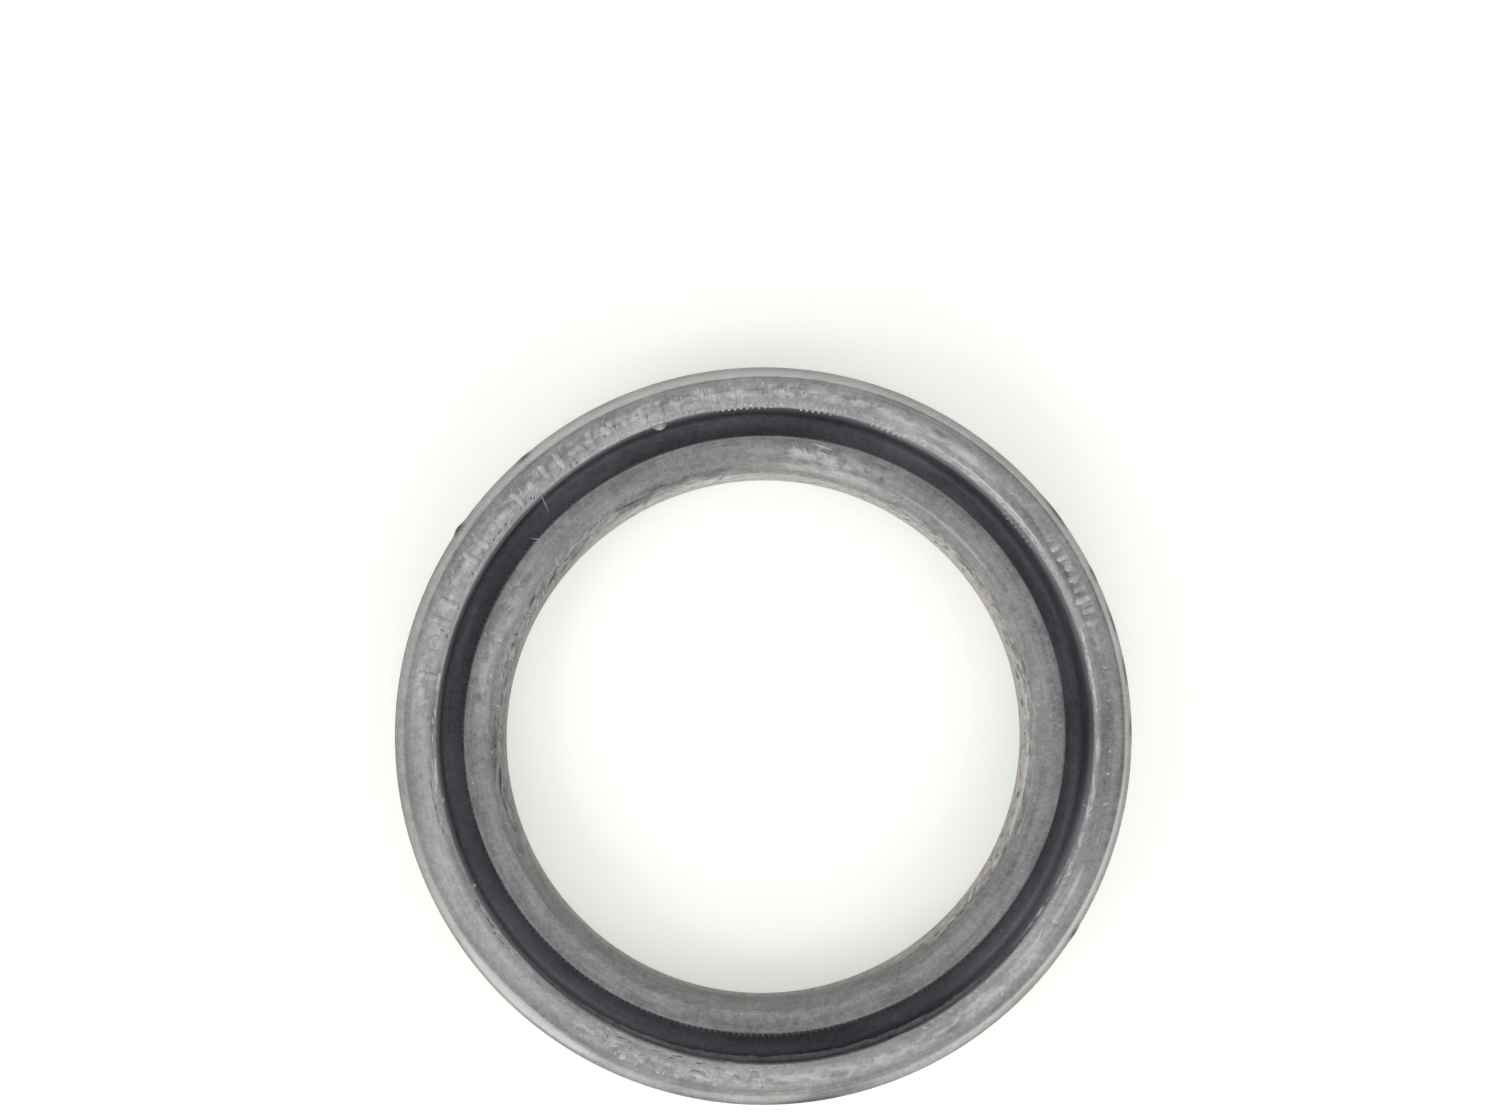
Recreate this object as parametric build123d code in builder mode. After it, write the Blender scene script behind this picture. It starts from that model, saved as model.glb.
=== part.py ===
from build123d import *
from math import cos, radians, sin, tan
import os

# Rubber-covered radial shaft seal, 50 x 70 x 10 mm, with a dust lip.
#
# An L-shaped steel case is moulded into one elastomer body, which covers the
# case, carries the sealing lip on a thin membrane and ends in a dust lip.
# A garter spring lies in the groove round the lip's head.
#
# Millimetres. The origin is on the bore axis in the back face, and +Z runs
# along the axis towards the oil side. Section points are (radius, height).

# ---- what the seal fits ----
shaft_diameter = 50.0
section_height = 10.0        # radial room between the shaft and the housing bore
seal_width = 10.0

# ---- fits, per side ----
housing_press = 0.15         # cover proud of the housing bore
lip_press = 0.45             # sealing edge inside the shaft's surface
dust_clearance = 0.2         # dust lip clear of the shaft

# ---- outer wall of the cover ----
wall_width = 3.9             # from the fitted surface to the groove's mouth
wall_draft = 0.25            # how much the wall thickens down to the groove's floor
front_chamfer = 1.05         # radial
front_chamfer_height = 1.2
back_chamfer = 0.7           # radial
back_chamfer_height = 1.3
mouth_bevel = 0.57           # radial, where the front face turns into the groove
mouth_bevel_height = 0.4
floor_bevel = 0.4            # between the wall and the groove's floor

# ---- steel case ----
case_thickness = 1.0
case_cover = 1.2             # rubber between the case and the fitted surface
front_cover = 1.2            # rubber over the case's free edge
back_cover = 0.6             # rubber under the case's flange
floor_cover = 0.5            # rubber over the case's flange
flange_clearance = 2.6       # from the shaft's surface to the flange's inner edge
bend_inside = 0.5            # flat across the bend, inside and outside
bend_outside = 1.1

# ---- sealing lip ----
head_setback = 1.0           # head's top below the front face
head_width = 3.95            # from the sealing edge to the head's rim
rim_chamfer = 0.25
bevel_width = 1.72           # from the sealing edge to the head's flat top
bevel_drop = 1.2
trim_width = 0.66            # knife-trimmed face above the sealing edge
trim_drop = 0.8
land_height = 0.2            # worn flat on the sealing edge
air_angle = 25.0             # air side of the lip, from the axis

# ---- garter spring and its groove, both of a ten-sided section ----
coil_diameter = 2.0
spring_offset = 0.3          # coil's centre below the sealing edge
groove_play = 0.05           # groove's radius over the coil's
side_angle = 36              # one side of the section
upper_lip_angle = 54         # groove's corner under the head's rim, from +radius
lower_lip_angle = 270
shelf_thickness = 0.35       # rubber under the groove's lower lip

# ---- membrane and dust lip ----
membrane_thickness = 1.2
membrane_flare = 0.6         # how much the membrane widens down to the floor
root_height = 0.5            # corner between the lips, above the groove's floor
dust_tip_height = 0.6
dust_tip_thickness = 0.3
dust_lip_reach = 1.15        # radial, from the tip to the recess behind the lip
dust_recess_depth = 1.3
dust_recess_slope = 1.15     # radial run of the recess's outer side

# ---- marks of the mould's pins that hold the case, on the back face ----
pin_mark_count = 6
pin_mark_length = 2.0        # radial
pin_mark_width = 1.4

# ---- radii and heights that follow ----
shaft_r = shaft_diameter / 2
outer_r = shaft_r + section_height + housing_press
mouth_r = outer_r - wall_width
floor_r = mouth_r - wall_draft
lip_r = shaft_r - lip_press
dust_r = shaft_r + dust_clearance
rim_r = lip_r + head_width

flange_top = back_cover + case_thickness
floor_z = flange_top + floor_cover
head_z = seal_width - head_setback
trim_z = head_z - bevel_drop
edge_z = trim_z - trim_drop
land_z = edge_z - land_height

coil_r = coil_diameter / 2
groove_radius = coil_r + groove_play
groove_r = rim_r - groove_radius * cos(radians(upper_lip_angle))
groove_z = edge_z - spring_offset
spring_r = groove_r - groove_play * cos(radians(side_angle / 2))

case_r = outer_r - case_cover
case_inside_r = case_r - case_thickness
case_top = seal_width - front_cover
flange_r = shaft_r + flange_clearance


def air_side_r(height):
    """Radius of the lip's air side at a height."""
    return lip_r + (land_z - height) * tan(radians(air_angle))


def groove_corner(angle):
    """Corner of the groove's section, at an angle from +radius round its centre."""
    return (
        groove_r + groove_radius * cos(radians(angle)),
        groove_z + groove_radius * sin(radians(angle)),
    )


root_z = floor_z + root_height
shelf_r, shelf_top = groove_corner(lower_lip_angle)
shelf_z = shelf_top - shelf_thickness
waist_z = (floor_z + shelf_z) / 2
waist_r = air_side_r(waist_z) + membrane_thickness / cos(radians(air_angle))
recess_r = dust_r + dust_lip_reach

# ---- section of the elastomer body, as runs that follow each other round it ----
head = [
    (rim_r, head_z - rim_chamfer),
    (rim_r - rim_chamfer, head_z),
    (lip_r + bevel_width, head_z),
    (lip_r + trim_width, trim_z),
    (lip_r, edge_z),
    (lip_r, land_z),
]
dust_lip = [
    (air_side_r(root_z), root_z),
    (dust_r, dust_tip_height + dust_tip_thickness),
    (dust_r, dust_tip_height),
    (recess_r, dust_recess_depth),
    (recess_r + dust_recess_slope, 0),
]
cover = [
    (outer_r - back_chamfer, 0),
    (outer_r, back_chamfer_height),
    (outer_r, seal_width - front_chamfer_height),
    (outer_r - front_chamfer, seal_width),
    (mouth_r + mouth_bevel, seal_width),
    (mouth_r, seal_width - mouth_bevel_height),
    (floor_r, floor_z + floor_bevel),
    (floor_r - floor_bevel, floor_z),
]
membrane = [
    (waist_r + membrane_flare, floor_z),
    (waist_r, waist_z),
    (shelf_r, shelf_z),
]
groove = [
    groove_corner(angle)
    for angle in range(lower_lip_angle, upper_lip_angle - side_angle, -side_angle)
]

# ---- steel case, one pressed ring of L section ----
with BuildPart() as steel_case:
    with BuildSketch(Plane.XZ):
        with BuildLine():
            Polyline(
                (flange_r, back_cover),
                (case_r - bend_outside, back_cover),
                (case_r, back_cover + bend_outside),
                (case_r, case_top),
                (case_inside_r, case_top),
                (case_inside_r, flange_top + bend_inside),
                (case_inside_r - bend_inside, flange_top),
                (flange_r, flange_top),
                close=True,
            )
        make_face()
    revolve(axis=Axis.Z)

# ---- elastomer body: cover, membrane, sealing lip and dust lip in one ----
with BuildPart() as seal_body:
    with BuildSketch(Plane.XZ):
        with BuildLine():
            Polyline(*head, *dust_lip, *cover, *membrane, *groove, close=True)
        make_face()
    revolve(axis=Axis.Z)
    add(steel_case.part, mode=Mode.SUBTRACT)
    with BuildSketch(Plane.XY):
        with PolarLocations((flange_r + case_r) / 2, pin_mark_count):
            Rectangle(pin_mark_length, pin_mark_width)
    extrude(amount=back_cover, mode=Mode.SUBTRACT)

# ---- garter spring, as the ring that its windings fill ----
with BuildPart() as garter_spring:
    with BuildSketch(Plane.XZ):
        with Locations((spring_r, groove_z)):
            RegularPolygon(coil_r, side_count=360 // side_angle, rotation=side_angle / 2)
    revolve(axis=Axis.Z)

os.makedirs("parts", exist_ok=True)

seal_body.part.label = "seal_body"
export_step(seal_body.part, "parts/seal_body.step")

steel_case.part.label = "steel_case"
export_step(steel_case.part, "parts/steel_case.step")

garter_spring.part.label = "garter_spring"
export_step(garter_spring.part, "parts/garter_spring.step")
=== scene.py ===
import math
import random

import bpy
from mathutils import Matrix, Vector, noise


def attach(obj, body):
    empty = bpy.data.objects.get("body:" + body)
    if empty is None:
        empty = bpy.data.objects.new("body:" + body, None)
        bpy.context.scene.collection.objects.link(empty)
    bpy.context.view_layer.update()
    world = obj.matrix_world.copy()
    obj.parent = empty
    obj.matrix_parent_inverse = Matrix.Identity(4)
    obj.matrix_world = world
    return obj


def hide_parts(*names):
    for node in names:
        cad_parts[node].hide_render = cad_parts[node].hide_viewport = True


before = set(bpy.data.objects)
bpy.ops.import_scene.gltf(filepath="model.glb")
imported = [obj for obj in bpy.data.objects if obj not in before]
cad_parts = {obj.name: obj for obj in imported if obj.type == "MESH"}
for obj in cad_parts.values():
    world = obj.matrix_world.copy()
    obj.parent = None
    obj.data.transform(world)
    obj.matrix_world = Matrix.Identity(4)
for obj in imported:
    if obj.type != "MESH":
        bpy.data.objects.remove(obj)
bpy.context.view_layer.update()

# Radial shaft seal, seen from its oil side. Lengths here are millimetres and go
# into the meshes in metres. An azimuth is in degrees, clockwise from +X as seen
# from above, so 90 is towards the camera's lower edge.
MM = 0.001
TURN = 2 * math.pi

# ---------------------------- section of the body
RING_STEPS = 900             # round the moulded body
ARC_STEP = math.radians(20)  # along a fillet of the section
FLATTEST = math.radians(2)   # a bend this slight gets no fillet

FRONT = 10.0                 # top of the raised marks
FACE = 9.9                   # front face between them
OUTER = 35.15                # radius of the outer wall
LIP = 24.56                  # radius of the sealing edge
DUST_LIP = 25.20
RIM = 28.64                  # radius of the head's rim, over the spring
HEAD_TOP = 9.00
GROOVE_FLOOR = 2.10          # height of the floor between the lip and the outer wall

# The spring's groove in the head, a true arc between the shelf and the rim.
COIL_GROOVE = (27.883, 6.70)
COIL_GROOVE_RADIUS = 1.05
COIL_GROOVE_FROM, COIL_GROOVE_TO = 270, 54
COIL_GROOVE_STEPS = 9
COIL_GROOVE_TALC = 0.58
RIM_UNDER = (RIM, 8.55)      # lower corner of the rim's outer side

# Corners of the moulded body's section: radius, height, fillet, points on the
# run to the next corner, and how much talc lies there.
SECTION = (
    # head of the sealing lip, from its rim inwards
    (RIM, HEAD_TOP, 0.30, 2, 0.38),
    (27.20, HEAD_TOP, 0.00, 2, 0.50),
    (26.27, HEAD_TOP, 0.25, 3, 0.50),
    (25.21, 7.80, 0.12, 3, 0.50),
    (LIP, 7.00, 0.05, 0, 0.50),
    # air side of the lip, corner behind it and dust lip
    (LIP, 6.80, 0.06, 3, 0.30),
    (26.508, 2.60, 0.40, 2, 0.15),
    (DUST_LIP, 0.90, 0.05, 0, 0.20),
    (DUST_LIP, 0.60, 0.08, 1, 0.20),
    (26.35, 1.30, 0.25, 1, 0.15),
    # back face
    (27.50, 0.00, 0.12, 0, 0.28),
    (29.72, 0.00, 0.00, 0, 0.32),
    (29.83, 0.00, 0.00, 2, 0.32),
    (31.72, 0.00, 0.00, 0, 0.32),
    (31.83, 0.00, 0.00, 1, 0.32),
    (34.45, 0.00, 0.25, 1, 0.34),
    # outer wall and the rounded bead at its front edge
    (OUTER, 1.30, 0.30, 2, 0.30),
    (OUTER, 7.60, 0.00, 1, 0.32),
    (OUTER, 8.85, 0.40, 1, 0.74),
    (34.66, 9.64, 0.40, 0, 0.70),
    (34.34, 9.80, 0.12, 0, 0.62),
    (34.17, 9.77, 0.06, 0, 0.52),
    # front face
    (34.04, FACE, 0.10, 2, 0.48),
    (33.40, FACE, 0.00, 3, 0.56),
    (32.70, FACE, 0.00, 2, 0.66),
    (31.90, FACE, 0.70, 1, 0.62),
    (31.33, 9.45, 0.16, 0, 0.66),
    # groove between the outer wall and the lip
    (31.27, 9.10, 0.00, 3, 0.44),
    (31.00, GROOVE_FLOOR, 0.60, 3, 0.64),
    (27.92, GROOVE_FLOOR, 0.30, 1, 0.32),
    (27.32, 3.70, 0.80, 1, 0.58),
    (COIL_GROOVE[0], 5.30, 0.12, 0, 0.58),
)

PIN_MARKS = 6
PIN_MARK_SPAN = (29.8, 31.75)
PIN_MARK_HALF_STEPS = 3      # of RING_STEPS, either side of a mark's middle
PIN_MARK_FLOOR = 0.65        # just above the steel, which shows there
BACK_FACE_TO = 0.01          # height up to which a point counts as on the back face

# The soft lip and the mouth aren't quite round, nor quite on the outer wall's centre.
MOUTH_SHIFT = Vector((0.16, 0.02))
FACE_SHIFT = Vector((0.10, 0.07))
HEAD_SHIFT = Vector((0.12, 0.13))
LIP_SHIFT = Vector((0.0, -0.13))
MOUTH_OVAL = (0.04, 349)     # how far out of round, and azimuth of its long axis
FACE_OVAL = (0.09, 348)
HEAD_OVAL = (0.11, 344)
LIP_OVAL = (0.07, 326)
# The lip's shift sets in over these heights, and goes from the sealing edge's to the
# head's over these radii, each as where it starts and over how far.
SOFT_HEIGHTS = (3.5, 3)
SOFT_RADII = (24.6, 3.5)
SOFT_TO = 29                 # radius up to which a point belongs to the lip
# The same for the outer part, from the mouth's shift to the face's. It fades out
# towards the outer wall.
FIRM_HEIGHTS = (2.5, 3)
FIRM_RADII = (31.8, 2.2)
FIRM_TO, FIRM_FADE = 34.9, 0.7
WAVE, WAVE_LENGTH = 0.03, 12     # how much the surfaces rise and fall, and how far apart
WAVE_HEIGHTS = (0.05, 9.85)      # between the flat back face and the marks' flat tops

NOISE_RADIUS = 30.0          # of the circle that noise is read on, for lengths in mm
SEED_STEP = 17.3             # keeps the noise of two seeds apart


def polar(radius, azimuth, height):
    """A point in metres, from millimetres and degrees."""
    a = math.radians(azimuth)
    return Vector((radius * math.cos(a), -radius * math.sin(a), height)) * MM


def turn_between(a, b):
    """Signed angle from azimuth b to azimuth a, within half a turn."""
    return (a - b + 180) % 360 - 180


def ramp(x, start, length):
    """0 up to start, rising evenly to 1 over a length."""
    return min(1.0, max(0.0, (x - start) / length))


def hump(x, half):
    """1 at 0, falling smoothly to 0 at half and beyond."""
    x = abs(x) / half
    return 0.0 if x >= 1 else 1 - x * x * (3 - 2 * x)


def rounded(x, half):
    """1 at 0, falling like a half circle to 0 at half and beyond."""
    return math.sqrt(max(0.0, 1 - (x / half) ** 2))


def sector(azimuth, start, end, soft=4.0):
    """1 from azimuth start to azimuth end, fading over soft degrees outside."""
    half = ((end - start) % 360) / 2
    gap = abs(turn_between(azimuth, start + half)) - half
    return 1.0 if gap <= 0 else hump(gap, soft)


def ring_noise(azimuth, along, row=0.0, seed=0):
    """Noise from -1 to 1 with features about along mm long round the ring."""
    a = math.radians(azimuth)
    reach = NOISE_RADIUS / along
    return noise.noise((math.cos(a) * reach, math.sin(a) * reach, row + SEED_STEP * seed))


def waves(azimuth, kinds):
    """Noises of several kinds together, each with its size, length in mm and seed."""
    return sum(size * ring_noise(azimuth, length, seed=seed) for size, length, seed in kinds)


def arc_points(before, corner, after, fillet):
    """Points round one corner of the section, as (radius, height)."""
    c = Vector(corner)
    to_before, to_after = (Vector(before) - c).normalized(), (Vector(after) - c).normalized()
    opening = to_before.angle(to_after)
    sweep = math.pi - opening
    if fillet == 0 or sweep < FLATTEST:
        return [tuple(c)]
    reach = fillet / math.tan(opening / 2)
    middle = c + (to_before + to_after).normalized() * (fillet / math.sin(opening / 2))
    first = c + to_before * reach - middle
    side = 1 if first.cross(c + to_after * reach - middle) > 0 else -1
    steps = max(1, round(sweep / ARC_STEP))
    return [
        tuple(middle + Matrix.Rotation(side * sweep * i / steps, 2) @ first)
        for i in range(steps + 1)
    ]


def coil_groove_arc():
    """Points of the spring's groove, from the shelf up to the rim."""
    turn = (COIL_GROOVE_TO - COIL_GROOVE_FROM) / COIL_GROOVE_STEPS
    for i in range(COIL_GROOVE_STEPS + 1):
        a = math.radians(COIL_GROOVE_FROM + turn * i)
        yield (
            COIL_GROOVE[0] + COIL_GROOVE_RADIUS * math.cos(a),
            COIL_GROOVE[1] + COIL_GROOVE_RADIUS * math.sin(a),
        )


def section_rows():
    """The closed section as rows of (radius, height, talc)."""
    groove = list(coil_groove_arc())
    rows = []
    for i, (r, z, fillet, _, talc) in enumerate(SECTION):
        before = SECTION[i - 1][:2] if i else RIM_UNDER
        after = SECTION[i + 1][:2] if i + 1 < len(SECTION) else groove[0]
        arc = arc_points(before, (r, z), after, fillet)
        if rows:
            last, steps = rows[-1], SECTION[i - 1][3]
            for k in range(1, steps + 1):
                t = k / (steps + 1)
                rows.append(tuple(a + (b - a) * t for a, b in zip(last, (*arc[0], talc))))
        rows.extend((*p, talc) for p in arc)
    rows.extend((*p, COIL_GROOVE_TALC) for p in groove)
    rows.append((*RIM_UNDER, COIL_GROOVE_TALC))
    return rows


# -------------------------------- where talc and painted light lie
# Clouds, streaks and bare places of talc, and a painted highlight where marked: azimuth,
# half its angle, radius, half its width, and how much it adds to the talc paint.
ALL_ROUND = 400              # half an angle so wide that the talc hardly thins out
TALC_AND_HIGHLIGHT_PATCHES = (
    # front face
    (41, 20, 32.75, 0.95, 0.14),
    (26, 6, 32.7, 0.30, 0.28),
    (88, 26, 32.30, 1.1, 0.12),
    (150, 45, 32.30, 1.0, 0.04),
    (70, 14, 33.3, 0.6, 0.12),
    (92, 18, 33.4, 0.6, 0.10),
    (155, 24, 33.4, 0.7, 0.12),
    (190, 18, 33.5, 0.7, 0.14),
    (205, 30, 32.65, 0.9, 0.14),
    (258, 22, 32.1, 0.7, 0.08),
    (228, 26, 32.9, 1.0, -0.12),
    (302, 14, 33.3, 0.7, -0.12),
    (294, 8, 32.75, 0.85, 0.18),
    (306, 4, 32.85, 0.75, 0.26),
    (100, 10, 32.9, 0.9, 0.10),
    (2, 36, 32.5, 1.2, -0.30),
    (326, 20, 32.4, 0.8, -0.30),
    # bead at the outer edge
    (0, ALL_ROUND, 34.42, 0.24, 0.14),
    (26, 36, 34.45, 0.30, 0.30),
    # painted highlight: the bright band where the bead faces the lamps, put in as extra talc paint
    (132, 17, 34.50, 0.55, 0.95),
    (335, 35, 34.6, 0.50, 0.14),
    (50, 62, 35.10, 0.40, -0.26),
    (100, 45, 35.03, 0.42, -0.36),
    (135, 30, 35.05, 0.38, -0.18),
    (170, 45, 35.10, 0.35, -0.24),
    (205, 24, 35.10, 0.35, -0.14),
    (0, 40, 34.00, 0.40, -0.10),
    (80, 16, 34.6, 0.50, -0.10),
    (265, 64, 34.15, 0.35, 0.12),
    (105, 16, 34.5, 0.40, -0.10),
    (79, 11, 34.6, 0.50, -0.24),
    (180, 24, 34.6, 0.50, -0.10),
    (260, 70, 34.6, 0.50, 0.30),
    # mouth's rounded edge
    (316, 28, 31.76, 0.34, 0.09),
    (8, 28, 31.60, 0.35, 0.06),
    (342, 22, 31.60, 0.40, 0.04),
    (102, 34, 31.60, 0.40, 0.17),
    (156, 22, 31.75, 0.50, -0.08),
    (182, 16, 31.70, 0.45, -0.16),
    (40, 24, 31.60, 0.40, 0.18),
    (262, 22, 31.60, 0.40, -0.10),
    # rim of the groove
    (270, 95, 28.50, 0.22, 0.22),
    # flat top of the head and its inner corner
    (75, 80, 27.4, 1.2, -0.08),
    (100, 70, 26.45, 0.35, -0.10),
    (22, 18, 26.7, 0.6, -0.14),
    (32, 28, 28.1, 0.4, 0.12),
    (197, 18, 27.0, 0.8, 0.13),
    (206, 9, 26.6, 0.5, 0.18),
    (204, 40, 27.7, 0.6, 0.10),
    (276, 12, 27.0, 0.7, 0.12),
    (284, 10, 26.9, 0.9, 0.20),
    (350, 12, 26.9, 0.6, 0.10),
    (312, 27, 26.34, 0.14, 0.30),
    # bevel and trimmed edge of the lip
    (288, 16, 25.8, 0.6, 0.30),
    (5, 26, 25.8, 0.6, 0.10),
    (98, 40, 25.8, 0.6, 0.08),
    (330, 30, 25.8, 0.6, 0.05),
    (248, 22, 25.8, 0.7, -0.20),
    (178, 14, 25.75, 0.45, -0.16),
    (276, 10, 25.9, 0.5, 0.12),
    (198, 16, 25.8, 0.6, 0.10),
    (10, 36, 25.24, 0.14, 0.95),
    (262, 18, 24.95, 0.4, 0.35),
)
# Lighter and darker places in the groove, all across it or on its outer wall alone: azimuth,
# half its angle, radius from which it lies, how much.
ALL_ACROSS, ON_WALL = 0, 30.5
GROOVE_TALC_AND_LIGHT_PATCHES = (
    (358, 16, ALL_ACROSS, -0.12),
    (24, 22, ALL_ACROSS, 0.06),
    (64, 22, ALL_ACROSS, -0.14),
    (152, 40, ALL_ACROSS, 0.12),
    (262, 36, ALL_ACROSS, -0.12),
    (30, 34, ON_WALL, 0.22),
    (122, 26, ON_WALL, 0.16),
    (200, 16, ON_WALL, -0.12),
    (236, 24, ON_WALL, 0.16),
    # partly painted light: the outer wall lighter where it faces the lamps, on top of its talc
    (314, 36, ON_WALL, 0.24),
)
# Where the outer wall's front shoulder is bare and dark: azimuth, half its angle,
# and how far a scrap of flash stands out of it there.
SCARS = (
    (32.5, 1.9, 0.06),
    (83.0, 7.5, 0.0),
    (214.0, 1.8, 0.20),
    (229.0, 1.9, 0.03),
    (322.5, 4.2, 0.05),
    (333.8, 2.0, 0.02),
    (342.0, 4.5, 0.0),
    (350.2, 3.5, 0.0),
    (358.8, 2.4, 0.0),
)
SCAR_BARE = 0.55
SCAR_RADII = (34.7, 0.3)     # where a scar starts and how soon it is at its barest
SCAR_MIDDLE, SCAR_HALF_HEIGHT = 9.0, 1.0
SCAR_RAGGED = 0.5            # how unevenly its ends lie
# A scrap of flash stands out at these radii and heights.
SCRAP_FROM, SCRAP_HEIGHTS = 34.9, (7.5, 9.3)
SCRAP_MIDDLE, SCRAP_HALF_HEIGHT = 8.6, 0.8
# Mottled places: azimuth from, to, radius from, to, how strong.
MOTTLED = (
    (186, 214, 26.3, 28.2, 0.30),
    (275, 294, 25.6, 28.2, 0.45),
    (155, 180, 24.7, 26.2, 0.40),
    (180, 262, 24.7, 26.2, 0.38),
    (300, 345, 24.7, 25.6, 0.70),
    (345, 50, 24.7, 25.6, 0.95),
    (92, 122, 31.9, 33.7, 0.40),
    (186, 276, 31.9, 33.8, 0.40),
    (312, 345, 32.0, 33.6, 0.25),
    (30, 90, 31.9, 33.6, 0.40),
    (274, 302, 32.1, 33.7, 0.45),
    (340, 22, 24.9, 26.2, 0.30),
)
# Places with fine light ticks across the ring, in the same way.
TICKED = (
    (240, 277, 32.0, 33.7, 0.4),
    (325, 342, 32.2, 33.6, 0.5),
    (232, 330, 31.3, 31.8, 0.4),
)
# Outer radius of the lip's knife-trimmed edge, where it is narrow and where wide.
TRIM_NARROW, TRIM_WIDE = 24.88, 25.12
TRIM_SOFT = 0.2              # width over which it ends
TRIM_WIDE_AT = (240, 55, 20)     # azimuth from, to, and over how many degrees it fades
TRIM_PALE_AT = (75, 145, 15)     # a stretch where it is narrow but shows well
TRIM_FAINT, TRIM_PALE = 0.38, 0.30
BLUSH_AT, BLUSH_HALF = 0, 130    # azimuth at which that edge is reddest, and how far it fades

EDGE_FROM = 6.7              # height of the sealing edge, below which nothing is marked
PATCHED_FROM = 7.0
LEAST_TALC = 0.02
MARKED_HALF = 0.62           # of a mottled place's width, where its mottling ends
GROOVE_UNEVEN = 0.16
# What counts as the groove: its open part, and the part under the head's rim.
OPEN_FROM, OPEN_TO, OPEN_TOP = 28.5, 31.3, 9.3
UNDERCUT_FROM, UNDERCUT_FLOOR, UNDERCUT_TOP = 26.9, 2.0, 8.6


def groove_side(r, z):
    """True in the groove between the lip and the outer wall."""
    opened = r > OPEN_FROM and z < OPEN_TOP
    undercut = r > UNDERCUT_FROM and UNDERCUT_FLOOR < z < UNDERCUT_TOP
    return r < OPEN_TO and (opened or undercut)


def scar_at(azimuth, r, z):
    """How much of a bare scar there is, with ragged ends."""
    shoulder = ramp(r, *SCAR_RADII) * hump(z - SCAR_MIDDLE, SCAR_HALF_HEIGHT)
    if shoulder == 0:
        return 0.0
    ragged = 1 + SCAR_RAGGED * ring_noise(azimuth, 1.5, 2 * z, seed=15)
    return shoulder * max(
        hump(turn_between(azimuth, at), half_angle * ragged) for at, half_angle, _ in SCARS
    )


def talc_and_light_at(azimuth, r, z, base):
    """Talc and painted light at a point of the body's surface, from the section's own amount of talc
    there.
    """
    if groove_side(r, z):
        for at, half_angle, innermost, strength in GROOVE_TALC_AND_LIGHT_PATCHES:
            if r > innermost:
                base += strength * hump(turn_between(azimuth, at), half_angle)
        return base + GROOVE_UNEVEN * ring_noise(azimuth, 9, r / 2, seed=9)
    if z < PATCHED_FROM:
        return base
    talc = base
    for at, half_angle, radius, half_width, strength in TALC_AND_HIGHLIGHT_PATCHES:
        off = abs(r - radius)
        if off < half_width:
            talc += strength * hump(turn_between(azimuth, at), half_angle) * hump(off, half_width)
    return min(1.0, max(LEAST_TALC, talc - SCAR_BARE * scar_at(azimuth, r, z)))


def trim_at(azimuth, r, z):
    """How much of the knife-trimmed edge's pinkish grey shows."""
    if z < EDGE_FROM:
        return 0.0
    wide = sector(azimuth, *TRIM_WIDE_AT)
    outer = TRIM_NARROW + (TRIM_WIDE - TRIM_NARROW) * wide
    strength = TRIM_FAINT + (1 - TRIM_FAINT) * wide + TRIM_PALE * sector(azimuth, *TRIM_PALE_AT)
    return ramp(outer + TRIM_SOFT / 2 - r, 0, TRIM_SOFT) * min(1.0, strength)


def marked_at(places, azimuth, r, z):
    """Strength of a kind of mottling at a point of the front."""
    if z < EDGE_FROM or groove_side(r, z):
        return 0.0
    return max(
        strength * sector(azimuth, start, end) * hump(r - (low + high) / 2, (high - low) * MARKED_HALF)
        for start, end, low, high, strength in places
    )


# ---------------------------------- mesh building
class Skin:
    """Points, faces and paint of one mesh, gathered from several closed forms."""

    def __init__(self):
        self.points, self.faces, self.smooth = [], [], []
        self.paint = {key: [] for key in ("talc", "trim", "blush", "mottled", "ticked", "groove")}

    def add(self, points, faces, smooth=True, **paint):
        """Adds a form. Each kind of paint is one value, or one for each point."""
        start = len(self.points)
        self.points.extend(points)
        self.faces.extend(tuple(start + i for i in face) for face in faces)
        self.smooth.extend([smooth] * len(faces))
        for key, values in self.paint.items():
            value = paint.get(key, 0.0)
            values.extend(value if isinstance(value, list) else [value] * len(points))

    def made(self, name):
        """The object, with its paint as attributes."""
        thing = make_mesh(name, self.points, self.faces, self.smooth)
        for key, values in self.paint.items():
            layer = thing.data.attributes.new(key, "FLOAT", "POINT")
            layer.data.foreach_set("value", values)
        return thing


def make_mesh(name, points, faces, smooth=None):
    """A new object in the scene, from points in metres."""
    mesh = bpy.data.meshes.new(name)
    mesh.from_pydata(points, [], faces)
    mesh.polygons.foreach_set("use_smooth", smooth or [True] * len(faces))
    mesh.update()
    thing = bpy.data.objects.new(name, mesh)
    bpy.context.scene.collection.objects.link(thing)
    return thing


def tube_faces(stations, corners):
    """Quads along a tube of closed rings of corners, and a cap at each end."""
    faces = []
    for j in range(stations - 1):
        for k in range(corners):
            a, b = corners * j + k, corners * j + (k + 1) % corners
            faces.append((a, b, b + corners, a + corners))
    faces.append(tuple(reversed(range(corners))))
    faces.append(tuple(range(corners * (stations - 1), corners * stations)))
    return faces


def ring_faces(steps, rows):
    """Quads between the rows of a closed section swept round a closed ring."""
    return [
        (
            s * rows + j,
            s * rows + (j + 1) % rows,
            (s + 1) % steps * rows + (j + 1) % rows,
            (s + 1) % steps * rows + j,
        )
        for s in range(steps)
        for j in range(rows)
    ]


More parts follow.
